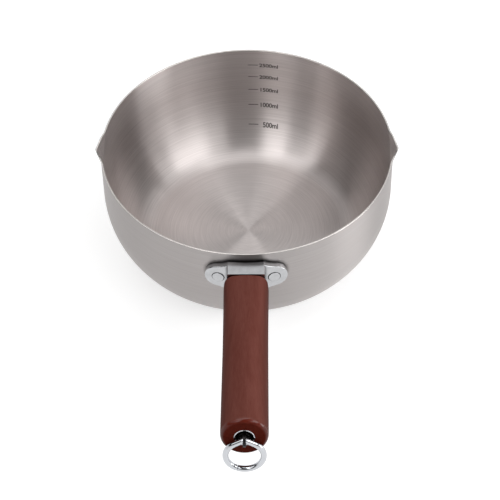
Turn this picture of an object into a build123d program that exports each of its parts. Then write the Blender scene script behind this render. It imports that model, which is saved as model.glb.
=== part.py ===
from build123d import *
import os
from math import asin, cos, degrees, radians, sin, sqrt

os.makedirs("parts", exist_ok=True)

# Milk pan, in millimetres. The origin is the centre of the underside of the base, +Z is up,
# the handle points along -Y and the pouring lips along -X and +X.

# Pan body: one sheet drawn to a round bowl
rim_radius = 110.0
pan_height = 93.3
sheet = 1.2
base_corner_radius = 25.0
side_curve_radius = 71.3
curve_change_angle = 45.0

# Pouring lips: a pinched V in the rim that fades out down the wall
lip_reach = 5.2
lip_half_width = 18.0
lip_tip_radius = 4.0
lip_drop = 20.0
lip_dip = 2.0
lip_dip_half_width = 11.0

# Handle axis: it starts at the bracket's front face, in line with its top, and rises to its end
handle_rise_angle = 8.0
handle_start_out = 15.2

# Handle: a rounded square at the bracket that turns into a circle
handle_length = 145.7
handle_front_half = 16.2
handle_front_corner = 8.0
handle_front_crown = 60.0
handle_waist_radius = 15.8
handle_end_radius = 16.0
handle_change_length = 70.0
handle_halfway_squareness = 0.25
handle_front_round = 1.2
handle_end_round = 3.3

# Bracket: a cast saddle with a flat-topped block and two round ears
bracket_seat_gap = 0.05
bracket_drop = 6.3
block_width = 27.0
block_height = 32.0
block_corner_radius = 4.0
block_edge_round = 0.8
block_back_round = 2.0
ear_thickness = 5.0
ear_radius = 10.0
ear_offset = 20.2
ear_drop = 13.5
ear_edge_round = 0.8
neck_tangent_angle = 10.0
neck_drop = 0.4

# Rivets: flat heads a little proud of the ears' counterbores, domed heads inside the pan
rivet_radius = 1.9
rivet_hole_gap = 0.05
ear_recess_radius = 4.7
ear_recess_depth = 1.2
flat_head_radius = 4.3
flat_head_height = 1.7
flat_head_round = 0.4
dome_head_radius = 5.0
dome_head_height = 2.0
head_seat_gap = 0.05

# Tie rod through the handle, screwed into the block and the eye nut
rod_radius = 2.5
rod_bore_gap = 0.5
thread_gap = 0.05
rod_grip = 8.0
rod_end_gap = 0.4
rod_chamfer = 0.5

# Cup washer, flush in the handle's end face
cup_flange_radius = 7.0
cup_flange_thickness = 1.0
cup_mouth_radius = 6.3
cup_mouth_depth = 2.0
cup_body_radius = 5.8
cup_depth = 9.0
cup_wall = 0.9
cup_fit_gap = 0.05

# Eye nut: a round nut on the rod, drawn out to a flat eye
nut_radius = 4.0
nut_face_depth = 0.5
nut_cap = 1.3
eye_thickness = 2.0
eye_wall = 1.7
eye_hole_gap = 0.7

# Hanging ring: one bent wire, a drop with a round bottom
wire_radius = 2.1
ring_radius = 12.6
ring_half_angle = 60.0
ring_apex_radius = 3.6
ring_end_gap = 0.5
ring_gap_angle = 25.0
ring_face_gap = 0.3

# Places that follow from the sizes above
block_top_height = pan_height - bracket_drop
ear_height = block_top_height - ear_drop
handle_start_height = block_top_height - handle_front_half
handle_start = Vector(0, -(rim_radius + handle_start_out), handle_start_height)
handle_direction = Vector(0, -cos(radians(handle_rise_angle)), sin(radians(handle_rise_angle)))
handle_frame = Plane(origin=handle_start, x_dir=(1, 0, 0), z_dir=handle_direction)
end_frame = handle_frame.offset(handle_length)
seat_radius = rim_radius + bracket_seat_gap
ear_surface = rim_radius + ear_thickness
rivet_hole_radius = rivet_radius + rivet_hole_gap
ring_axis_out = wire_radius + ring_face_gap
eye_hole_radius = wire_radius + eye_hole_gap
eye_radius = eye_hole_radius + eye_wall

on_base = (Align.CENTER, Align.CENTER, Align.MIN)
on_top = (Align.CENTER, Align.CENTER, Align.MAX)


def bowl(inset, top):
    """Solid of revolution inside the pan's outer surface, drawn in by inset and cut off at top."""
    change = radians(curve_change_angle)
    low = base_corner_radius
    high = side_curve_radius
    base_flat = rim_radius - high * (1 - cos(change)) - low * sin(change)
    low_centre = Vector(base_flat, low)
    high_centre = Vector(rim_radius - high, low + (high - low) * sin(change))

    def around(centre, radius, angle):
        return centre + Vector(cos(radians(angle)), sin(radians(angle))) * (radius - inset)

    bottom = around(low_centre, low, -90)
    low_middle = around(low_centre, low, -(90 + curve_change_angle) / 2)
    knee = around(low_centre, low, -curve_change_angle)
    high_middle = around(high_centre, high, -curve_change_angle / 2)
    side = around(high_centre, high, 0)
    with BuildPart() as solid:
        with BuildSketch(Plane.XZ):
            with BuildLine():
                Line((0, inset), bottom)
                ThreePointArc(bottom, low_middle, knee)
                ThreePointArc(knee, high_middle, side)
                Polyline(side, (rim_radius - inset, top), (0, top), (0, inset))
            make_face()
        revolve(axis=Axis.Z)
    return solid.part


def lip(inset, above):
    """Slanted V-shaped solid of the right-hand pouring lip, from inside the wall to above the rim."""
    foot = sqrt(rim_radius**2 - lip_half_width**2)
    deep = foot - 4 * lip_reach
    tip = rim_radius + lip_reach
    lean = lip_reach / lip_drop
    with BuildSketch(Plane.XY.offset(pan_height - lip_drop)) as outline:
        with BuildLine():
            Polyline((deep, -lip_half_width), (foot, -lip_half_width), (tip, 0),
                     (foot, lip_half_width), (deep, lip_half_width), close=True)
        make_face()
        fillet(outline.vertices().sort_by(Axis.X)[-1], lip_tip_radius - inset)
    low_face = outline.sketch.moved(Location((-lip_reach - inset, 0, 0)))
    return extrude(low_face, amount=(lip_drop + above) * sqrt(1 + lean**2), dir=(lean, 0, 1))


def rivet_frame(side):
    """Frame on the pan's axis at the ears' height, looking out through the ear on one side."""
    turn = side * asin(ear_offset / ear_surface)
    return Plane(origin=(0, 0, ear_height), x_dir=(cos(turn), sin(turn), 0),
                 z_dir=(sin(turn), -cos(turn), 0))


def pan_body():
    above_rim = 2.0
    outer_lip = lip(0, 0)
    inner_lip = lip(sheet, above_rim)
    body = bowl(0, pan_height) + outer_lip + mirror(outer_lip, about=Plane.YZ)
    body -= bowl(sheet, pan_height + above_rim) + inner_lip + mirror(inner_lip, about=Plane.YZ)
    dip_radius = (lip_dip_half_width**2 + lip_dip**2) / (2 * lip_dip)
    dip_frame = Plane(origin=(0, 0, pan_height - lip_dip + dip_radius), z_dir=(1, 0, 0))
    body -= dip_frame * Cylinder(dip_radius, 3 * rim_radius)
    for side in (-1, 1):
        body -= rivet_frame(side) * Cylinder(rivet_hole_radius, 2 * rim_radius, align=on_base)
    return body


def block():
    """Middle of the saddle, seated on the wall and cut off square to the handle."""
    with BuildSketch(Plane.XZ) as outline:
        with Locations((0, block_top_height - block_height / 2)):
            RectangleRounded(block_width, block_height, block_corner_radius)
        with Locations((0, block_top_height - block_height / 4)):
            Rectangle(block_width, block_height / 2)
    body = extrude(outline.sketch, amount=2 * rim_radius)
    body = fillet(body.edges().filter_by(Axis.Y).group_by(Axis.Z)[-1], block_edge_round)
    body -= Cylinder(seat_radius, 4 * pan_height)
    body -= handle_frame * Box(rim_radius, rim_radius, rim_radius, align=on_base)
    top_face = body.faces().filter_by(Axis.Z).sort_by(Axis.Z)[-1]
    return fillet(top_face.edges().filter_by(GeomType.CIRCLE), block_back_round)


def ear(side):
    """Round ear on one side, with a neck that sweeps up and down to the block's flank."""
    turn = asin(ear_offset / ear_surface)
    lean = radians(neck_tangent_angle)
    tangent_point = Vector(side * sin(lean), cos(lean)) * ear_radius
    flank = -side * (ear_offset - block_width / 2) / cos(turn)
    corner = Vector(flank, ear_drop - neck_drop)
    with BuildSketch() as outline:
        Circle(ear_radius)
        with BuildLine():
            upper = TangentArc(tangent_point, corner, tangent=(-side * cos(lean), sin(lean)))
            lower = mirror(upper, about=Plane.XZ)
            Polyline(upper @ 1, (2 * flank, 0), lower @ 1)
            Line(upper @ 0, lower @ 0)
        make_face()
    body = extrude(outline.sketch, amount=ear_surface)
    outer_edges = body.edges().group_by(Axis.Z)[-1].filter_by(GeomType.CIRCLE)
    return rivet_frame(side) * fillet(outer_edges, ear_edge_round)


def handle_bracket():
    body = block() + (ear(-1) + ear(1) - Cylinder(seat_radius, 4 * pan_height))
    for side in (-1, 1):
        ear_face = rivet_frame(side).offset(ear_surface)
        body -= ear_face * Cylinder(ear_recess_radius, 2 * ear_recess_depth)
        body -= ear_face * Cylinder(rivet_hole_radius, 4 * ear_thickness)
    body -= handle_frame * Cylinder(rod_radius + thread_gap, rod_grip, align=on_top)
    return body


def rivet(side):
    """Rivet through one ear and the wall, with a domed head inside the pan."""
    inner_face = sqrt((rim_radius - sheet)**2 - dome_head_radius**2) - head_seat_gap
    recess_floor = ear_surface - ear_recess_depth + head_seat_gap
    shank = Cylinder(rivet_radius, recess_floor - inner_face, align=on_base)
    flat_head = Cylinder(flat_head_radius, flat_head_height, align=on_base)
    flat_head = fillet(flat_head.edges().group_by(Axis.Z)[-1], flat_head_round)
    dome_sphere = (dome_head_radius**2 + dome_head_height**2) / (2 * dome_head_height)
    dome = Pos(0, 0, dome_sphere - dome_head_height) * Sphere(dome_sphere)
    dome &= Cylinder(dome_head_radius, dome_head_height, align=on_top)
    frame = rivet_frame(side)
    return frame.offset(inner_face) * (shank + dome) + frame.offset(recess_floor) * flat_head


def handle_section(squareness, round_radius):
    """Closed outline of eight arcs, from a circle at 0 to the crowned rounded square at 1."""
    lift = handle_front_crown - handle_front_half
    inner = handle_front_crown - handle_front_corner
    corner_centre = (sqrt(2 * inner**2 - lift**2) - lift) / 2
    meet = Vector(0, -lift) + Vector(corner_centre, corner_centre + lift) * (handle_front_crown / inner)
    corner = Vector(1, 1) * (corner_centre + handle_front_corner * sqrt(0.5))
    middle = Vector(0, handle_front_half)

    def blend(point):
        return point * squareness + point.normalized() * round_radius * (1 - squareness)

    meet, corner, middle = blend(meet), blend(corner), blend(middle)
    with BuildSketch() as outline:
        with BuildLine():
            for quarter in range(4):
                points = [Vector(-meet.X, meet.Y), middle, meet, corner, Vector(meet.Y, meet.X)]
                a, b, c, d, e = [p.rotate(Axis.Z, -90 * quarter) for p in points]
                ThreePointArc(a, b, c)
                ThreePointArc(c, d, e)
        make_face()
    return outline.sketch


def wooden_handle():
    change = handle_change_length
    front = handle_section(1, handle_waist_radius)
    halfway = Pos(0, 0, change / 2) * handle_section(handle_halfway_squareness, handle_waist_radius)
    back = Pos(0, 0, change) * handle_section(0, handle_waist_radius)
    grip = loft([front, halfway, back])
    grip = fillet(grip.faces().sort_by(Axis.Z)[0].edges(), handle_front_round)
    bend = handle_end_round
    end = handle_end_radius
    middle = bend * sqrt(0.5)
    with BuildPart() as rear:
        with BuildSketch(Plane.XZ):
            with BuildLine():
                Polyline((0, change), (handle_waist_radius, change), (end, handle_length - bend))
                ThreePointArc((end, handle_length - bend),
                              (end - bend + middle, handle_length - bend + middle),
                              (end - bend, handle_length))
                Polyline((end - bend, handle_length), (0, handle_length), (0, change))
            make_face()
        revolve(axis=Axis.Z)
    wood = grip + rear.part
    wood -= Cylinder(rod_radius + rod_bore_gap, handle_length, align=on_base)
    rear_face = Pos(0, 0, handle_length)
    wood -= rear_face * Cylinder(cup_body_radius + cup_fit_gap, cup_depth + cup_fit_gap, align=on_top)
    wood -= rear_face * Cylinder(cup_flange_radius + cup_fit_gap, cup_flange_thickness + cup_fit_gap,
                                 align=on_top)
    return handle_frame * wood


def tie_rod():
    front = -rod_grip + rod_end_gap
    back = handle_length - nut_face_depth - nut_cap - rod_end_gap
    rod = Cylinder(rod_radius, back - front, align=on_base)
    rod = chamfer(rod.edges().filter_by(GeomType.CIRCLE), rod_chamfer)
    return handle_frame.offset(front) * rod


def cup_washer():
    """Turned cup: flange flush with the wood, a flared mouth, and a floor under the nut."""
    inner = cup_body_radius - cup_wall
    hole = rod_radius + rod_bore_gap
    with BuildPart() as cup:
        with BuildSketch(Plane.XZ):
            with BuildLine():
                Polyline((cup_mouth_radius, 0), (cup_flange_radius, 0),
                         (cup_flange_radius, -cup_flange_thickness), (cup_body_radius, -cup_flange_thickness),
                         (cup_body_radius, -cup_depth), (hole, -cup_depth), (hole, cup_wall - cup_depth),
                         (inner, cup_wall - cup_depth), (inner, -cup_mouth_depth), close=True)
            make_face()
        revolve(axis=Axis.Z)
    return end_frame * cup.part


def eye_nut():
    """Round nut on the rod's rear end, with a flat eye that stands out of the cup."""
    seat = cup_wall - cup_depth + head_seat_gap
    nut = Pos(0, 0, seat) * Cylinder(nut_radius, -nut_face_depth - seat, align=on_base)
    nut -= Pos(0, 0, -nut_face_depth - nut_cap) * Cylinder(rod_radius + thread_gap, cup_depth, align=on_top)
    eye_frame = Plane(origin=(0, 0, 0), x_dir=(0, 1, 0), z_dir=(1, 0, 0))
    root = nut_face_depth + nut_cap / 2
    with BuildPart() as eye:
        with BuildSketch(eye_frame):
            with Locations((0, ring_axis_out)):
                Circle(eye_radius)
            with Locations((0, (ring_axis_out - root) / 2)):
                Rectangle(2 * nut_radius - eye_thickness, ring_axis_out + root)
            with Locations((0, ring_axis_out)):
                Circle(eye_hole_radius, mode=Mode.SUBTRACT)
        extrude(amount=eye_thickness / 2, both=True)
    return end_frame * (nut + eye.part)


def hanging_ring():
    """Drop-shaped wire ring: its apex lies in the eye, its ends butt at the lower left."""
    slant = radians(ring_half_angle)
    point = ring_apex_radius * (1 / sin(slant) - 1)
    apex_centre = Vector(0, -ring_apex_radius)
    loop_centre = Vector(0, point - ring_radius / sin(slant))

    def around(centre, radius, angle):
        return centre + Vector(cos(radians(angle)), sin(radians(angle))) * radius

    half_gap = degrees(ring_end_gap / 2 / ring_radius)
    left = 180 - ring_half_angle
    right = ring_half_angle
    start = 270 - ring_gap_angle - half_gap
    finish = -90 - ring_gap_angle + half_gap
    left_foot = around(loop_centre, ring_radius, left)
    left_top = around(apex_centre, ring_apex_radius, left)
    right_top = around(apex_centre, ring_apex_radius, right)
    right_foot = around(loop_centre, ring_radius, right)
    with BuildLine() as path:
        ThreePointArc(around(loop_centre, ring_radius, start),
                      around(loop_centre, ring_radius, (start + left) / 2), left_foot)
        Line(left_foot, left_top)
        ThreePointArc(left_top, (0, 0), right_top)
        Line(right_top, right_foot)
        ThreePointArc(right_foot, around(loop_centre, ring_radius, (right + finish) / 2),
                      around(loop_centre, ring_radius, finish))
    section = Plane(origin=path.line @ 0, z_dir=path.line % 0) * Circle(wire_radius)
    return end_frame.offset(ring_axis_out) * sweep(section, path=path.line)


export_step(pan_body(), "parts/pan_body.step")
export_step(handle_bracket(), "parts/handle_bracket.step")
export_step(Compound([rivet(-1), rivet(1)]), "parts/bracket_rivets.step")
export_step(wooden_handle(), "parts/wooden_handle.step")
export_step(tie_rod(), "parts/tie_rod.step")
export_step(cup_washer(), "parts/cup_washer.step")
export_step(eye_nut(), "parts/eye_nut.step")
export_step(hanging_ring(), "parts/hanging_ring.step")
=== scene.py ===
from math import asin, atan2, cos, pi, radians, sin, sqrt

import bmesh
import bpy
from mathutils import Matrix, Vector


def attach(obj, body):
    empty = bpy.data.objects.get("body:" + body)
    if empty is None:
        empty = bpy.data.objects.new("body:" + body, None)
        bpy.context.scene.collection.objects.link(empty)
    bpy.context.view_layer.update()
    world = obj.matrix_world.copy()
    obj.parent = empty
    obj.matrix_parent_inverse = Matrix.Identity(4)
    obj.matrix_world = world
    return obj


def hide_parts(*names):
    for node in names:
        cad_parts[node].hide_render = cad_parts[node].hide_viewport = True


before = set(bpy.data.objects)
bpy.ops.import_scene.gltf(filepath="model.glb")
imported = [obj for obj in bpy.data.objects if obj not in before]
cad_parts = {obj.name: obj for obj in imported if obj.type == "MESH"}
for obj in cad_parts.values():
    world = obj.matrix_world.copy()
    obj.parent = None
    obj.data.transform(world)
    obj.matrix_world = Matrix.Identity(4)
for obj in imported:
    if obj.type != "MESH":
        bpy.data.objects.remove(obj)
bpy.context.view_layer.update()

scene = bpy.context.scene


# Pan body. One disc of 1.2 mm stainless steel, drawn to a round bowl and trimmed at the rim, with
# two pouring lips pinched into it. It was brushed while it turned, so every fine scratch runs
# round the pan. The real scratches are far finer; they are drawn half a millimetre apart to show.

MM = 0.001
rim_radius, pan_height, sheet = 110.0, 93.3, 1.2
base_corner_radius, side_curve_radius, curve_change_angle = 25.0, 71.3, radians(45)
rim_edge_round = 0.3
lip_reach, lip_half_width, lip_drop = 4.35, 19.0, 20.0
lip_tip_softness, lip_hollow, lip_blend = 0.8, 1.2, 0.35
lip_dip, lip_dip_half_width, lip_dip_drop = 2.0, 12.0, 16.0
lip_arc = radians(13)


def piece(name, bm, body, materials):
    """Makes a finished mesh, drawn in millimetres, a smooth piece that moves with a CAD body."""
    bmesh.ops.scale(bm, vec=(MM, MM, MM), verts=bm.verts)
    mesh = bpy.data.meshes.new(name)
    bm.to_mesh(mesh)
    bm.free()
    for material in materials:
        mesh.materials.append(material)
    mesh.shade_smooth()
    mesh.set_sharp_from_angle(angle=radians(38))
    made = bpy.data.objects.new(name, mesh)
    scene.collection.objects.link(made)
    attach(made, body)
    return made


def run(bm, start, steps, move=(0, 0, 0), centre=(0, 0, 0), angle=0.0, axis=(0, -1, 0)):
    """Draws on from the last vertex or section: straight by move, or round centre by angle."""
    part = Vector(move) / steps
    made = bmesh.ops.spin(bm, geom=start, cent=centre, axis=axis, dvec=part, angle=angle,
                          steps=steps, use_merge=False, use_normal_flip=False, use_duplicate=False)
    return made["geom_last"]


def lip_bulge(along, below):
    """How far a lip stands out of the round wall, at a distance along the rim and below it."""
    crest = sqrt(along**2 + lip_tip_softness**2) - lip_tip_softness
    share = max(0.0, 1 - crest / lip_half_width)
    level = (lip_reach + lip_blend) * (share**lip_hollow - below / lip_drop) - lip_blend
    if level < -lip_blend:
        return 0.0
    if level > lip_blend:
        return level
    return (level + lip_blend)**2 / (4 * lip_blend)


def pan_mesh():
    bm = bmesh.new()
    low, high, turn = base_corner_radius, side_curve_radius, curve_change_angle
    base_flat = rim_radius - high * (1 - cos(turn)) - low * sin(turn)
    knee_height = low + (high - low) * sin(turn)
    edge = rim_edge_round
    inside = rim_radius - sheet
    end = [bm.verts.new((0, 0, 0))]
    end = run(bm, end, 3, move=(base_flat, 0, 0))
    end = run(bm, end, 12, centre=(base_flat, 0, low), angle=turn)
    end = run(bm, end, 24, centre=(rim_radius - high, 0, knee_height), angle=turn)
    end = run(bm, end, 6, move=(0, 0, pan_height - lip_drop - knee_height))
    end = run(bm, end, 24, move=(0, 0, lip_drop - edge))
    end = run(bm, end, 3, centre=(rim_radius - edge, 0, pan_height - edge), angle=pi / 2)
    end = run(bm, end, 1, move=(2 * edge - sheet, 0, 0))
    end = run(bm, end, 3, centre=(inside + edge, 0, pan_height - edge), angle=pi / 2)
    end = run(bm, end, 24, move=(0, 0, edge - lip_drop))
    end = run(bm, end, 6, move=(0, 0, knee_height + lip_drop - pan_height))
    end = run(bm, end, 24, centre=(rim_radius - high, 0, knee_height), angle=-turn)
    end = run(bm, end, 12, centre=(base_flat, 0, low), angle=-turn)
    end = run(bm, end, 3, move=(-base_flat, 0, 0))
    bmesh.ops.rotate(bm, verts=bm.verts, cent=(0, 0, 0), matrix=Matrix.Rotation(-lip_arc, 3, "Z"))
    section = list(bm.edges) + list(bm.verts)
    for steps, angle in ((74, 2 * lip_arc), (77, pi - 2 * lip_arc)) * 2:
        section = run(bm, section, steps, angle=angle, axis=(0, 0, 1))
    bmesh.ops.remove_doubles(bm, verts=bm.verts, dist=0.001)
    for vert in bm.verts:
        out = Vector((vert.co.x, vert.co.y, 0))
        if vert.co.z < pan_height - lip_drop or out.length == 0:
            continue
        along = rim_radius * asin(out.y / out.length)
        below = max(0.0, pan_height - vert.co.z)
        vert.co += out.normalized() * lip_bulge(along, below)
        dip = max(0.0, 1 - (along / lip_dip_half_width)**2)**2
        vert.co.z -= lip_dip * dip * max(0.0, 1 - below / lip_dip_drop)**2
    bmesh.ops.recalc_face_normals(bm, faces=bm.faces)
    for face in bm.faces:
        centre = face.calc_center_median()
        if centre.z > pan_height - 3 * edge - lip_dip and abs(face.normal.z) > 0.5:
            face.material_index = 2
        elif face.normal.dot(centre - Vector((0, 0, 60))) < 0:
            face.material_index = 1
    return bm


def linear_colour(code):
    """Linear colour of an sRGB hex code."""
    parts = [int(code[i:i + 2], 16) / 255 for i in (1, 3, 5)]
    return [c / 12.92 if c <= 0.04045 else ((c + 0.055) / 1.055)**2.4 for c in parts] + [1.0]


def add(tree, kind, sockets=(), **settings):
    """Adds one shader node, with its settings, and its sockets set to values or linked to outputs."""
    node = tree.nodes.new("ShaderNode" + kind)
    for name, value in settings.items():
        setattr(node, name, value)
    for socket, value in dict(sockets).items():
        if isinstance(value, bpy.types.NodeSocket):
            tree.links.new(value, node.inputs[socket])
        else:
            node.inputs[socket].default_value = value
    return node


def new_material(name):
    """An empty material, with its node tree and output node."""
    material = bpy.data.materials.new(name)
    material.use_nodes = True
    material.node_tree.nodes.clear()
    return material, material.node_tree


def round_brushed(name, spacing, streak, dark, light, rough_low, rough_high, depth, anisotropy):
    """Stainless steel brushed while it turned: scratches a given spacing apart and a streak long."""
    material, tree = new_material(name)
    place = add(tree, "TexCoord").outputs["Object"]
    parts = add(tree, "SeparateXYZ", {0: place}).outputs
    flat = add(tree, "CombineXYZ", {0: parts["X"], 1: parts["Y"]}).outputs[0]
    radius = add(tree, "VectorMath", {0: flat}, operation="LENGTH").outputs["Value"]
    way = add(tree, "VectorMath", {0: flat}, operation="NORMALIZE").outputs["Vector"]
    round_scale = rim_radius / streak
    across_scale = 1 / (spacing * MM)
    along = add(tree, "VectorMath", {0: way, 1: (round_scale, round_scale, 0)},
                operation="MULTIPLY").outputs["Vector"]
    height = add(tree, "Math", {0: parts["Z"], 1: across_scale}, operation="MULTIPLY").outputs[0]
    up = add(tree, "CombineXYZ", {2: height}).outputs[0]
    spot = add(tree, "VectorMath", {0: along, 1: up}, operation="ADD").outputs["Vector"]
    out = add(tree, "Math", {0: radius, 1: across_scale}, operation="MULTIPLY").outputs[0]
    scratches = add(tree, "TexNoise", {"Vector": spot, "W": out, "Scale": 1.0, "Detail": 3.0,
                                       "Roughness": 0.6}, noise_dimensions="4D").outputs[0]
    tone = add(tree, "ValToRGB", {0: scratches})
    tone.color_ramp.elements[0].position = 0.3
    tone.color_ramp.elements[0].color = linear_colour(dark)
    tone.color_ramp.elements[1].position = 0.7
    tone.color_ramp.elements[1].color = linear_colour(light)
    rough = add(tree, "MapRange", {"Value": scratches, "From Min": 0.3, "From Max": 0.7,
                                   "To Min": rough_low, "To Max": rough_high}).outputs[0]
    bump = add(tree, "Bump", {"Height": scratches, "Strength": 1.0, "Distance": depth * MM}).outputs[0]
    grain = add(tree, "Tangent", direction_type="RADIAL", axis="Z").outputs[0]
    # Painted shade: an occlusion mask darkens the steel where other surfaces come close, as in the seam
    # at the bracket.
    near = add(tree, "AmbientOcclusion", {"Distance": 5 * MM}, samples=8).outputs["AO"]
    painted_shade = add(tree, "ValToRGB", {0: near})
    painted_shade.color_ramp.elements[0].position = 0.45
    painted_shade.color_ramp.elements[0].color = linear_colour("#3c3a39")
    painted_shade.color_ramp.elements[1].position = 0.85
    painted_shade.color_ramp.elements[1].color = linear_colour("#ffffff")
    tone = add(tree, "Mix", {0: 1.0, 6: tone.outputs[0], 7: painted_shade.outputs[0]},
               data_type="RGBA", blend_type="MULTIPLY")
    surface = add(tree, "BsdfPrincipled", {
        "Base Color": tone.outputs[2], "Metallic": 1.0, "Roughness": rough, "Normal": bump,
        "Anisotropic": anisotropy, "Anisotropic Rotation": 0.25, "Tangent": grain}).outputs[0]
    add(tree, "OutputMaterial", {0: surface})
    return material


# The gloss spreads across the scratches and stays sharp along them. That gives the eye bright fans
# and dark bands that run down the inside, a softer, duller grey outside, and at the ground rim a
# thin bright line. Where the bracket meets the wall, painted shade from an occlusion mask darkens
# the seam.
steel_outside = round_brushed("stainless steel, fine round brushing", 0.5, 90, "#a39e9c", "#b0abaa",
                              0.36, 0.42, 0.001, 0.9)
steel_inside = round_brushed("stainless steel, round brushing", 0.55, 60, "#beb7b5", "#d2cbc9",
                             0.3, 0.37, 0.002, 1.0)
steel_rim = round_brushed("stainless steel, ground edge", 0.5, 20, "#cfcac6", "#e6e2df",
                          0.2, 0.3, 0.002, 0.3)
pan = piece("pan", pan_mesh(), "pan", [steel_outside, steel_inside, steel_rim])
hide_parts("pan_body")


# Volume marks. Five short lines and their numbers, etched dark into the inner wall opposite the
# handle by a laser. They have no thickness to feel, so they stand a few hundredths proud here.

mark_heights = {"2500ml": 78.0, "2000ml": 65.5, "1500ml": 51.9, "1000ml": 37.8, "500ml": 22.1}
mark_line_start, mark_line_length, mark_line_width = 0.0, 8.0, 0.45
mark_text_end, mark_text_height, letter_height_share = 24.4, 3.6, 0.7
mark_proud, mark_boldness = 0.06, 0.09


def wall_place(along, height, proud):
    """The point of the inner wall at a distance along it from the middle of the far side."""
    low, high = base_corner_radius - sheet, side_curve_radius - sheet
    knee_height = base_corner_radius + (side_curve_radius - base_corner_radius) * sin(curve_change_angle)
    change_height = base_corner_radius - low * sin(curve_change_angle)
    base_flat = (rim_radius - side_curve_radius * (1 - cos(curve_change_angle))
                 - base_corner_radius * sin(curve_change_angle))
    if height > knee_height:
        out, slope = rim_radius - sheet, 0.0
    elif height > change_height:
        slope = asin((knee_height - height) / high)
        out = rim_radius - side_curve_radius + high * cos(slope)
    else:
        slope = asin((base_corner_radius - height) / low)
        out = base_flat + low * cos(slope)
    out -= proud * cos(slope)
    turn = along / out
    return Vector((out * sin(turn), out * cos(turn), height + proud * sin(slope)))


def marks_mesh():
    bm = bmesh.new()
    for words, height in mark_heights.items():
        bar = bmesh.ops.create_grid(bm, x_segments=8, y_segments=1, size=0.5)["verts"]
        bmesh.ops.scale(bm, vec=(mark_line_length, mark_line_width, 1), verts=bar)
        bmesh.ops.translate(bm, vec=(mark_line_start + mark_line_length / 2, height, 0), verts=bar)
        curve = bpy.data.curves.new(words, "FONT")
        curve.body = words
        curve.size = mark_text_height / letter_height_share
        curve.align_x = "RIGHT"
        curve.offset = mark_boldness
        holder = bpy.data.objects.new(words, curve)
        text = bpy.data.meshes.new_from_object(holder)
        before = len(bm.verts)
        bm.from_mesh(text)
        bm.verts.ensure_lookup_table()
        letters = bm.verts[before:]
        bmesh.ops.translate(bm, vec=(mark_text_end, height - mark_text_height / 2, 0),
                            verts=letters)
        bpy.data.objects.remove(holder)
    for vert in bm.verts:
        vert.co = wall_place(vert.co.x, vert.co.y, mark_proud)
    return bm


# Dark and matt on the bright wall, so the eye finds the marks at once.
etched, tree = new_material("laser etching, dark grey brown")
place = add(tree, "TexCoord").outputs["Object"]
grit = add(tree, "TexNoise", {"Vector": place, "Scale": 1 / (0.6 * MM), "Detail": 2.0}).outputs[0]
tone = add(tree, "ValToRGB", {0: grit})
tone.color_ramp.elements[0].color = linear_colour("#262221")
tone.color_ramp.elements[1].color = linear_colour("#4a4442")
surface = add(tree, "BsdfPrincipled", {"Base Color": tone.outputs[0], "Metallic": 0.6,
                                       "Roughness": 0.6}).outputs[0]
add(tree, "OutputMaterial", {0: surface})

piece("volume_marks", marks_mesh(), "pan", [etched])


# Bracket and rivets. The saddle is cast, tumbled and satin polished, and held by two rivets whose
# flat heads stand a little proud of the ears' counterbores.

# A cool even grey, whiter than the pan's, to the eye almost without a pattern. Painted shade from
# an occlusion mask darkens the seams at the wall and the ring round each head.
cast_satin, tree = new_material("cast steel, satin polished")
place = add(tree, "TexCoord").outputs["Object"]
skin = add(tree, "TexNoise", {"Vector": place, "Scale": 1 / (4 * MM), "Detail": 2.0,
                              "Roughness": 0.5}).outputs[0]
tone = add(tree, "ValToRGB", {0: skin})
tone.color_ramp.elements[0].position = 0.3
tone.color_ramp.elements[0].color = linear_colour("#b4b5b7")
tone.color_ramp.elements[1].position = 0.7
tone.color_ramp.elements[1].color = linear_colour("#bcbdbf")
rough = add(tree, "MapRange", {"Value": skin, "From Min": 0.3, "From Max": 0.7,
                               "To Min": 0.22, "To Max": 0.24}).outputs[0]
bump = add(tree, "Bump", {"Height": skin, "Strength": 1.0, "Distance": 0.0005 * MM}).outputs[0]
# Painted shade: the occlusion mask darkens the seams and the recess round each head.
near = add(tree, "AmbientOcclusion", {"Distance": 3 * MM}, samples=8).outputs["AO"]
painted_shade = add(tree, "ValToRGB", {0: near})
painted_shade.color_ramp.elements[0].position = 0.5
painted_shade.color_ramp.elements[0].color = linear_colour("#343232")
painted_shade.color_ramp.elements[1].position = 0.9
painted_shade.color_ramp.elements[1].color = linear_colour("#ffffff")
tone = add(tree, "Mix", {0: 1.0, 6: tone.outputs[0], 7: painted_shade.outputs[0]},
           data_type="RGBA", blend_type="MULTIPLY")
surface = add(tree, "BsdfPrincipled", {"Base Color": tone.outputs[2], "Metallic": 1.0,
                                       "Roughness": rough, "Normal": bump}).outputs[0]
add(tree, "OutputMaterial", {0: surface})
for node in ("handle_bracket", "bracket_rivets"):
    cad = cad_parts[node].data
    cad.materials.clear()
    cad.materials.append(cast_satin)


# Handle. Turned hardwood, a rounded square at the bracket that becomes round, bored for the tie
# rod, stained and dipped in dark red lacquer that lets the fine lengthwise grain show through.

handle_rise = radians(8)
handle_start = Vector((0, -125.2, 70.8))
handle_length, handle_change_length = 145.7, 70.0
handle_front_half, handle_front_corner, handle_front_crown = 16.2, 8.0, 60.0
handle_waist_radius, handle_end_radius = 15.8, 16.0
handle_front_round, handle_end_round = 1.2, 3.3
rod_bore_radius, cup_bore_radius, cup_bore_depth = 3.0, 5.85, 9.05
cup_seat_radius, cup_seat_depth = 7.05, 1.05
handle_frame = Matrix.Translation(handle_start) @ Matrix.Rotation(pi / 2 - handle_rise, 4, "X")


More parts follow.
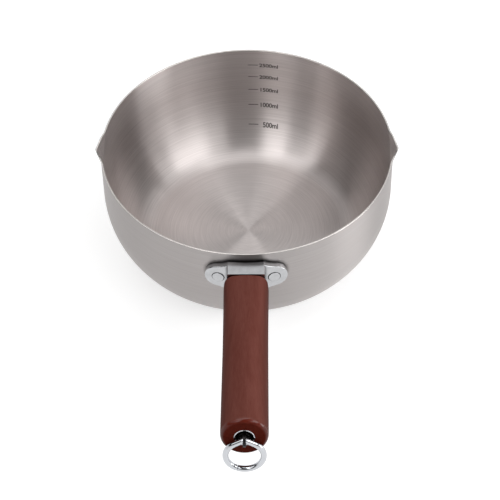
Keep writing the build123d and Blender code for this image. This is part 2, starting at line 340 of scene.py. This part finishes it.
def front_radius(angle):
    """Distance from the axis to the crowned square's outline, in a direction from its top."""
    quarter = abs((angle + pi / 4) % (pi / 2) - pi / 4)
    lift = handle_front_crown - handle_front_half
    inner = handle_front_crown - handle_front_corner
    corner = (sqrt(2 * inner**2 - lift**2) - lift) / 2
    crown = sqrt(handle_front_crown**2 - (lift * sin(quarter))**2) - lift * cos(quarter)
    if atan2(crown * sin(quarter), crown * cos(quarter) + lift) < atan2(corner, corner + lift):
        return crown
    slant = pi / 4 - quarter
    return sqrt(2) * corner * cos(slant) + sqrt(handle_front_corner**2 - 2 * (corner * sin(slant))**2)


def handle_mesh():
    bm = bmesh.new()
    waist, rear, bend = handle_waist_radius, handle_end_radius, handle_end_round
    back_length = handle_length - handle_change_length - bend
    end = [bm.verts.new((rod_bore_radius, 0, 0))]
    end = run(bm, end, 1, move=(waist - handle_front_round - rod_bore_radius, 0, 0))
    end = run(bm, end, 4, centre=(waist - handle_front_round, 0, handle_front_round), angle=pi / 2)
    end = run(bm, end, 34, move=(0, 0, handle_change_length - handle_front_round))
    end = run(bm, end, 12, move=(rear - waist, 0, back_length))
    end = run(bm, end, 10, centre=(rear - bend, 0, handle_length - bend), angle=pi / 2)
    end = run(bm, end, 2, move=(cup_seat_radius - rear + bend, 0, 0))
    end = run(bm, end, 1, move=(0, 0, -cup_seat_depth))
    end = run(bm, end, 1, move=(cup_bore_radius - cup_seat_radius, 0, 0))
    end = run(bm, end, 1, move=(0, 0, cup_seat_depth - cup_bore_depth))
    end = run(bm, end, 1, move=(rod_bore_radius - cup_bore_radius, 0, 0))
    run(bm, end, 1, move=(0, 0, cup_bore_depth - handle_length))
    run(bm, list(bm.edges) + list(bm.verts), 128, angle=2 * pi, axis=(0, 0, 1))
    bmesh.ops.remove_doubles(bm, verts=bm.verts, dist=0.001)
    for vert in bm.verts:
        out = vert.co.xy.length
        if out > cup_seat_radius + 0.1 and vert.co.z < handle_change_length:
            square = (1 - vert.co.z / handle_change_length)**2
            stretch = 1 + square * (front_radius(atan2(vert.co.x, vert.co.y)) / waist - 1)
            vert.co.x *= stretch
            vert.co.y *= stretch
    bmesh.ops.recalc_face_normals(bm, faces=bm.faces)
    bmesh.ops.transform(bm, matrix=handle_frame, verts=bm.verts)
    return bm


# To the eye a deep red brown with a faint lengthwise grain. The flanks carry painted shade, darker
# than the top; the lacquer pools to a glossy edge at the rear and soaks dark into the end grain.
lacquered, tree = new_material("stained hardwood, dark red lacquer")
place = add(tree, "TexCoord").outputs["Object"]
lengthwise = add(tree, "Mapping", {"Vector": place, "Rotation": (handle_rise, 0, 0),
                                   "Scale": (1.0, 0.035, 1.0)}).outputs[0]
fibres = add(tree, "TexNoise", {"Vector": lengthwise, "Scale": 1 / (0.9 * MM), "Detail": 4.0,
                                "Roughness": 0.65}).outputs[0]
figure = add(tree, "TexNoise", {"Vector": lengthwise, "Scale": 1 / (6 * MM), "Detail": 2.0,
                                "Distortion": 0.6}).outputs[0]
mixed = add(tree, "Math", {0: fibres, 1: figure}, operation="ADD").outputs[0]
tone = add(tree, "ValToRGB", {0: add(tree, "Math", {0: mixed, 1: 0.5}, operation="MULTIPLY").outputs[0]})
tone.color_ramp.elements[0].position = 0.36
tone.color_ramp.elements[0].color = linear_colour("#633730")
tone.color_ramp.elements[1].position = 0.64
tone.color_ramp.elements[1].color = linear_colour("#6e423b")
facing = add(tree, "VectorMath", {0: add(tree, "NewGeometry").outputs["Normal"],
                                  1: (0, -cos(handle_rise), sin(handle_rise))},
             operation="DOT_PRODUCT").outputs["Value"]
end_grain = add(tree, "ValToRGB", {0: facing})
end_grain.color_ramp.elements[0].position = 0.15
end_grain.color_ramp.elements[0].color = linear_colour("#f4f0ee")
end_grain.color_ramp.elements[1].position = 0.6
end_grain.color_ramp.elements[1].color = linear_colour("#e29a82")
tone = add(tree, "Mix", {0: 1.0, 6: tone.outputs[0], 7: end_grain.outputs[0]},
           data_type="RGBA", blend_type="MULTIPLY")
# Painted shade: the flanks are darker than the top, by how far the surface faces up.
upward = add(tree, "SeparateXYZ", {0: add(tree, "NewGeometry").outputs["Normal"]}).outputs["Z"]
painted_flank_shade = add(tree, "ValToRGB", {0: upward})
painted_flank_shade.color_ramp.elements[0].position = 0.25
painted_flank_shade.color_ramp.elements[0].color = linear_colour("#cccccc")
painted_flank_shade.color_ramp.elements[1].position = 0.85
painted_flank_shade.color_ramp.elements[1].color = linear_colour("#ffffff")
tone = add(tree, "Mix", {0: 1.0, 6: tone.outputs[2], 7: painted_flank_shade.outputs[0]},
           data_type="RGBA", blend_type="MULTIPLY")
pooled = add(tree, "ValToRGB", {0: facing})
pooled.color_ramp.elements[0].position = 0.1
pooled.color_ramp.elements[0].color = linear_colour("#000000")
pooled.color_ramp.elements.new(0.3).color = linear_colour("#c8c8c8")
pooled.color_ramp.elements.new(0.8).color = linear_colour("#c8c8c8")
pooled.color_ramp.elements[3].position = 0.97
pooled.color_ramp.elements[3].color = linear_colour("#202020")
bump = add(tree, "Bump", {"Height": fibres, "Strength": 1.0, "Distance": 0.012 * MM}).outputs[0]
rough = add(tree, "MapRange", {"Value": fibres, "From Min": 0.3, "From Max": 0.7,
                               "To Min": 0.34, "To Max": 0.46}).outputs[0]
surface = add(tree, "BsdfPrincipled", {
    "Base Color": tone.outputs[2], "Roughness": rough, "IOR": 1.5, "Specular IOR Level": 0.004,
    "Normal": bump, "Coat Weight": pooled.outputs[0], "Coat Roughness": 0.08, "Coat IOR": 1.5}).outputs[0]
add(tree, "OutputMaterial", {0: surface})
handle = piece("handle", handle_mesh(), "pan", [lacquered])
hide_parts("wooden_handle")

# Plain bright grey with a slight drawn haze. The wood hides it from the eye.
rod_steel, tree = new_material("bright drawn steel rod")
place = add(tree, "TexCoord").outputs["Object"]
drawn = add(tree, "TexNoise", {"Vector": place, "Scale": 1 / (0.8 * MM)}).outputs[0]
rough = add(tree, "MapRange", {"Value": drawn, "To Min": 0.25, "To Max": 0.4}).outputs[0]
surface = add(tree, "BsdfPrincipled", {"Base Color": linear_colour("#b9b9b9"), "Metallic": 1.0,
                                       "Roughness": rough}).outputs[0]
add(tree, "OutputMaterial", {0: surface})
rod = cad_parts["tie_rod"].data
rod.materials.clear()
rod.materials.append(rod_steel)


# Cup washer and eye nut. The cup is pressed steel, set flush into the handle's end, and chromed on
# its flange; its inside and the nut carry painted shade, near black, for the shade of the hollow. The
# nut screws on to the tie rod inside it and is forged out to a flat eye.

cup_flange_radius, cup_flange_thickness, cup_mouth_radius, cup_mouth_depth = 7.0, 1.0, 6.3, 2.0
cup_body_radius, cup_depth, cup_wall, cup_hole_radius = 5.8, 9.0, 0.9, 3.0
cup_edge_round = 0.2
end_frame = handle_frame @ Matrix.Translation((0, 0, handle_length))

# A mirror with slight waves, so the eye sees the white table and the dark above it in bent bands.
chromed, tree = new_material("steel, bright chrome plating")
place = add(tree, "TexCoord").outputs["Object"]
waves = add(tree, "TexNoise", {"Vector": place, "Scale": 1 / (2.5 * MM), "Detail": 2.0}).outputs[0]
rough = add(tree, "MapRange", {"Value": waves, "From Min": 0.3, "From Max": 0.7,
                               "To Min": 0.04, "To Max": 0.09}).outputs[0]
bump = add(tree, "Bump", {"Height": waves, "Strength": 1.0, "Distance": 0.012 * MM}).outputs[0]
surface = add(tree, "BsdfPrincipled", {"Base Color": linear_colour("#c0c2c6"), "Metallic": 1.0,
                                       "Roughness": rough, "Normal": bump}).outputs[0]
add(tree, "OutputMaterial", {0: surface})


def cup_mesh():
    bm = bmesh.new()
    edge = cup_edge_round
    end = [bm.verts.new((cup_flange_radius, 0, -cup_flange_thickness))]
    end = run(bm, end, 1, move=(0, 0, cup_flange_thickness - edge))
    end = run(bm, end, 3, centre=(cup_flange_radius - edge, 0, -edge), angle=pi / 2)
    end = run(bm, end, 1, move=(cup_mouth_radius - cup_flange_radius + edge, 0, 0))
    end = run(bm, end, 3, move=(cup_body_radius - cup_wall - cup_mouth_radius, 0, -cup_mouth_depth))
    end = run(bm, end, 3, move=(0, 0, cup_mouth_depth + cup_wall - cup_depth))
    end = run(bm, end, 1, move=(cup_hole_radius + cup_wall - cup_body_radius, 0, 0))
    end = run(bm, end, 1, move=(0, 0, -cup_wall))
    end = run(bm, end, 1, move=(cup_body_radius - cup_hole_radius, 0, 0))
    end = run(bm, end, 1, move=(0, 0, cup_depth - cup_flange_thickness))
    run(bm, end, 1, move=(cup_flange_radius - cup_body_radius, 0, 0))
    run(bm, list(bm.edges) + list(bm.verts), 72, angle=2 * pi, axis=(0, 0, 1))
    bmesh.ops.remove_doubles(bm, verts=bm.verts, dist=0.001)
    bmesh.ops.recalc_face_normals(bm, faces=bm.faces)
    # Faces inside the mouth take the painted shade of the hollow.
    for face in bm.faces:
        if face.calc_center_median().xy.length < cup_mouth_radius:
            face.material_index = 1
    bmesh.ops.transform(bm, matrix=end_frame, verts=bm.verts)
    return bm


# Painted shade: nearly black, so to the eye the cup is a dark hole behind the ring's apex.
painted_hollow_shade, tree = new_material("steel, painted near black as hollow shade")
place = add(tree, "TexCoord").outputs["Object"]
scale = add(tree, "TexNoise", {"Vector": place, "Scale": 1 / (0.7 * MM), "Detail": 3.0}).outputs[0]
tone = add(tree, "ValToRGB", {0: scale})
tone.color_ramp.elements[0].position = 0.3
tone.color_ramp.elements[0].color = linear_colour("#1c1b1c")
tone.color_ramp.elements[1].position = 0.7
tone.color_ramp.elements[1].color = linear_colour("#353334")
rough = add(tree, "MapRange", {"Value": scale, "From Min": 0.3, "From Max": 0.7,
                               "To Min": 0.3, "To Max": 0.45}).outputs[0]
surface = add(tree, "BsdfPrincipled", {"Base Color": tone.outputs[0], "Metallic": 1.0,
                                       "Roughness": rough}).outputs[0]
add(tree, "OutputMaterial", {0: surface})

cup = piece("end_cup", cup_mesh(), "pan", [chromed, painted_hollow_shade])
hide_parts("cup_washer")
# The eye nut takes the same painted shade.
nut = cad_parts["eye_nut"].data
nut.materials.clear()
nut.materials.append(painted_hollow_shade)


# Hanging ring. One length of chromed steel wire, bent to a drop with a round bottom through the
# eye; its cut ends butt at the lower left. It swings on the eye and rests on the handle's end.

wire_radius, ring_radius, ring_apex_radius = 2.1, 12.6, 3.6
ring_half_angle, ring_gap_angle, ring_end_gap = radians(60), radians(25), 0.5
ring_end_round, ring_axis_out = 0.3, 2.4


def ring_mesh():
    bm = bmesh.new()
    point = ring_apex_radius * (1 / sin(ring_half_angle) - 1)
    loop_centre = Vector((0, point - ring_radius / sin(ring_half_angle), 0))
    apex_centre = Vector((0, -ring_apex_radius, 0))
    half_gap = ring_end_gap / 2 / ring_radius
    left, right = pi - ring_half_angle, ring_half_angle
    begin = 3 * pi / 2 - ring_gap_angle - half_gap
    finish = -pi / 2 - ring_gap_angle + half_gap

    def around(centre, radius, angle):
        return centre + Vector((cos(angle), sin(angle), 0)) * radius

    bmesh.ops.create_circle(bm, segments=32, radius=wire_radius, cap_ends=False)
    bmesh.ops.rotate(bm, verts=bm.verts, cent=(0, 0, 0), matrix=Matrix.Rotation(pi / 2, 3, "X"))
    bmesh.ops.translate(bm, verts=bm.verts, vec=(ring_radius, 0, 0))
    bmesh.ops.rotate(bm, verts=bm.verts, cent=(0, 0, 0), matrix=Matrix.Rotation(begin, 3, "Z"))
    bmesh.ops.translate(bm, verts=bm.verts, vec=loop_centre)
    first = list(bm.edges)
    section = list(bm.edges) + list(bm.verts)
    section = run(bm, section, 40, centre=loop_centre, angle=left - begin, axis=(0, 0, 1))
    rise = around(apex_centre, ring_apex_radius, left) - around(loop_centre, ring_radius, left)
    section = run(bm, section, 4, move=rise)
    section = run(bm, section, 14, centre=apex_centre, angle=right - left, axis=(0, 0, 1))
    fall = around(loop_centre, ring_radius, right) - around(apex_centre, ring_apex_radius, right)
    section = run(bm, section, 4, move=fall)
    section = run(bm, section, 56, centre=loop_centre, angle=finish - right, axis=(0, 0, 1))
    last = [item for item in section if isinstance(item, bmesh.types.BMEdge)]
    for rim in (first, last):
        bmesh.ops.contextual_create(bm, geom=rim)
    bmesh.ops.bevel(bm, geom=first + last, offset=ring_end_round, offset_type="OFFSET", segments=3,
                    profile=0.5, affect="EDGES", material=-1)
    bmesh.ops.recalc_face_normals(bm, faces=bm.faces)
    bmesh.ops.transform(bm, matrix=end_frame @ Matrix.Translation((0, 0, ring_axis_out)),
                        verts=bm.verts)
    return bm


hanging_ring = piece("ring", ring_mesh(), "ring", [chromed])
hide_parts("hanging_ring")


# Floor and light. A white table, soft lamps on both sides in front of the pan, and one above it, one
# high on the left and one behind it. None stands beside the camera, so the back wall has a dark
# middle as in the photograph.

floor_size = 6.0
floor_mesh = bpy.data.meshes.new("floor")
bm = bmesh.new()
bmesh.ops.create_grid(bm, x_segments=1, y_segments=1, size=floor_size / 2)
bmesh.ops.translate(bm, verts=bm.verts, vec=(0, 0, -0.0001))
bm.to_mesh(floor_mesh)
bm.free()
floor = bpy.data.objects.new("floor", floor_mesh)
scene.collection.objects.link(floor)
# White to the eye, with the pan's soft shadow on it.
paper, tree = new_material("white paper")
path = add(tree, "LightPath").outputs
seen = add(tree, "Math", {0: path["Is Camera Ray"], 1: path["Is Glossy Ray"]}, operation="MAXIMUM")
seen = add(tree, "Math", {0: seen.outputs[0], 1: path["Is Transmission Ray"]},
           operation="MAXIMUM").outputs[0]
matt = add(tree, "BsdfDiffuse", {"Color": linear_colour("#f4f4f4")}).outputs[0]
half = add(tree, "BsdfDiffuse", {"Color": linear_colour("#c4c4c4")}).outputs[0]
glow = add(tree, "Emission", {"Color": linear_colour("#ffffff"), "Strength": 0.63}).outputs[0]
white = add(tree, "AddShader", {0: half, 1: glow}).outputs[0]
surface = add(tree, "MixShader", {0: seen, 1: matt, 2: white}).outputs[0]
add(tree, "OutputMaterial", {0: surface})
floor_mesh.materials.append(paper)

world = bpy.data.worlds.new("studio")
scene.world = world
world.use_nodes = True
tree = world.node_tree
tree.nodes.clear()
way = add(tree, "TexCoord").outputs["Generated"]
height = add(tree, "SeparateXYZ", {0: way}).outputs["Z"]
strength = add(tree, "MapRange", {"Value": height, "From Min": 0.13, "From Max": 0.25,
                                  "To Min": 1.0, "To Max": 0.05}).outputs[0]
strength = add(tree, "Math", {0: strength, 1: add(tree, "LightPath").outputs["Is Camera Ray"]},
               operation="MAXIMUM").outputs[0]
surface = add(tree, "Background", {"Color": linear_colour("#ffffff"), "Strength": strength}).outputs[0]
add(tree, "OutputWorld", {0: surface})

lamp_aim = Vector((0, 0, 0.05))
lamps = {
    "left": ((-0.97, -1.0, 1.2), 1.5, 0.8, 3.0),
    "left front": ((-0.57, -1.21, 1.15), 0.58, 0.75, 2.4),
    "left side": ((-1.22, -0.54, 1.15), 0.35, 0.75, 1.0),
    "right": ((1.2, -0.79, 1.22), 2.15, 0.8, 10.3),
    "right middle": ((1.14, -0.7, 1.15), 0.95, 0.75, 4.6),
    "low right": ((1.4, -0.4, 0.35), 0.7, 0.5, 6.0),
    "back": ((0.2, 0.7, 1.3), 2.5, 1.6, 10.8),
    "top": ((0.1, -0.1, 1.55), 1.0, 0.6, 3.8),
    "high left": ((-0.55, -0.35, 1.5), 0.8, 0.6, 4.0),
}
for name, (spot, width, height, power) in lamps.items():
    data = bpy.data.lights.new(name, "AREA")
    data.shape = "RECTANGLE"
    data.size, data.size_y, data.energy = width, height, power
    lamp = bpy.data.objects.new(name, data)
    scene.collection.objects.link(lamp)
    lamp.location = spot
    lamp.visible_camera = False
    lamp.rotation_euler = (lamp_aim - Vector(spot)).to_track_quat("-Z", "Y").to_euler()


# Camera. It looks down on the pan along the handle, from 1.4 m, as the rim's ellipse and the volume
# marks of the photograph give it.

elevation, bearing, roll = radians(47.646), radians(1.0), radians(-0.98)
camera_distance, focal_pixels, frame_pixels = 1400.0, 1811.6, 500
shift_right, shift_up, look_height = 1.852, -45.336, 45.0

sight = Vector((-sin(bearing) * cos(elevation), cos(bearing) * cos(elevation), -sin(elevation)))
level = Vector((cos(bearing), sin(bearing), 0))
upright = level.cross(sight)
across = level * cos(roll) + upright * sin(roll)
upwards = upright * cos(roll) - level * sin(roll)
target = Vector((0, 0, look_height)) + across * shift_right + upwards * shift_up
camera_data = bpy.data.cameras.new("camera")
camera_data.sensor_width = 36.0
camera_data.lens = focal_pixels / frame_pixels * camera_data.sensor_width
camera_data.clip_start = 0.01
camera = bpy.data.objects.new("camera", camera_data)
scene.collection.objects.link(camera)
turned = Matrix((across, upwards, -sight)).transposed().to_4x4()
camera.matrix_world = Matrix.Translation((target - sight * camera_distance) * MM) @ turned
scene.camera = camera
scene.view_settings.view_transform = "Standard"
